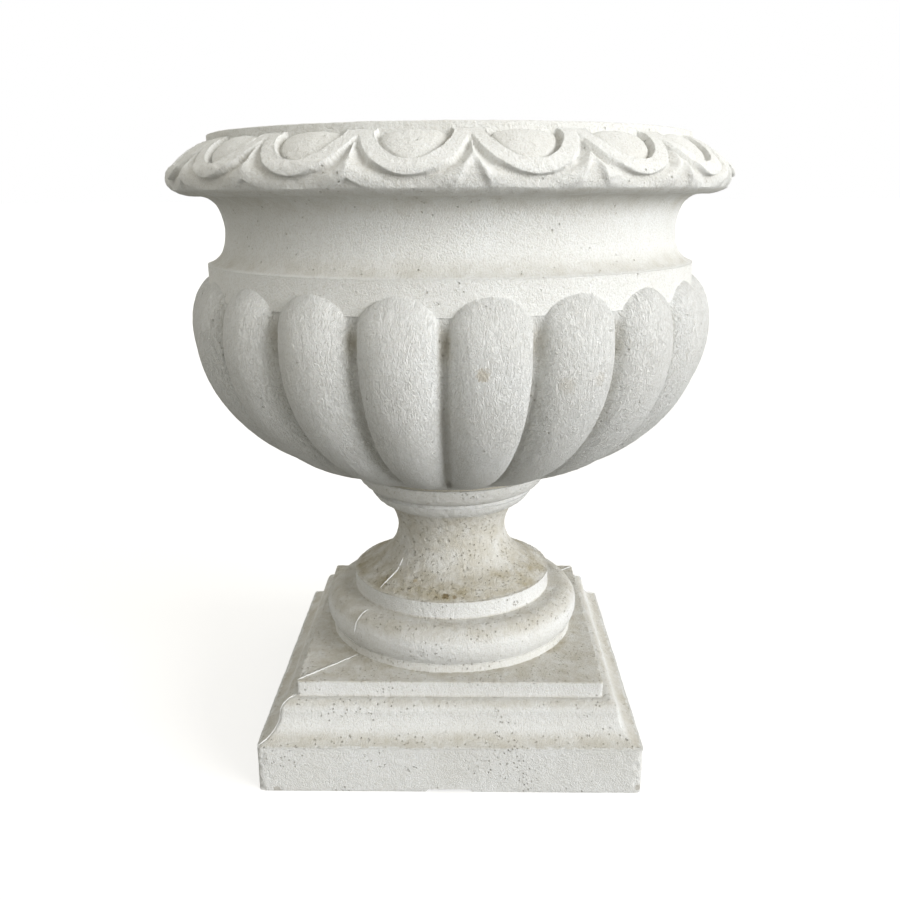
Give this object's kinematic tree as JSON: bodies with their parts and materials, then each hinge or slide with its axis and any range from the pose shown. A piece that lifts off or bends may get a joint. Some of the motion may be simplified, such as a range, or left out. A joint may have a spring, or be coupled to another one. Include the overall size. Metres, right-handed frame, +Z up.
{
  "type": "urn planter",
  "caption": "Classical garden urn planter in cast stone: lobed bowl with an egg-and-dart rim on a turned pedestal with a square plinth.",
  "frame": {"origin": "middle of the plinth's underside, on the ground", "axes": "+Z up along the urn's axis, X and Y parallel to the plinth's sides, -Y towards the viewer of the picture"},
  "size_m": [0.5972, 0.597, 0.668],
  "materials": {
    "bowl_stone": "matt, brushed",
    "pedestal_stone": "matt, pitted",
    "mortar": "matt",
    "pipe_plastic": "matt",
    "bar_steel": "dull"
  },
  "bodies": {
    "root": {"pedestal": "pedestal_stone", "bowl": "bowl_stone", "mortar_bed": "mortar", "drain_pipe": "pipe_plastic", "rim_hoop": "bar_steel", "belly_hoop": "bar_steel", "stem_bars": "bar_steel", "plinth_bars": "bar_steel"}
  },
  "joints": []
}
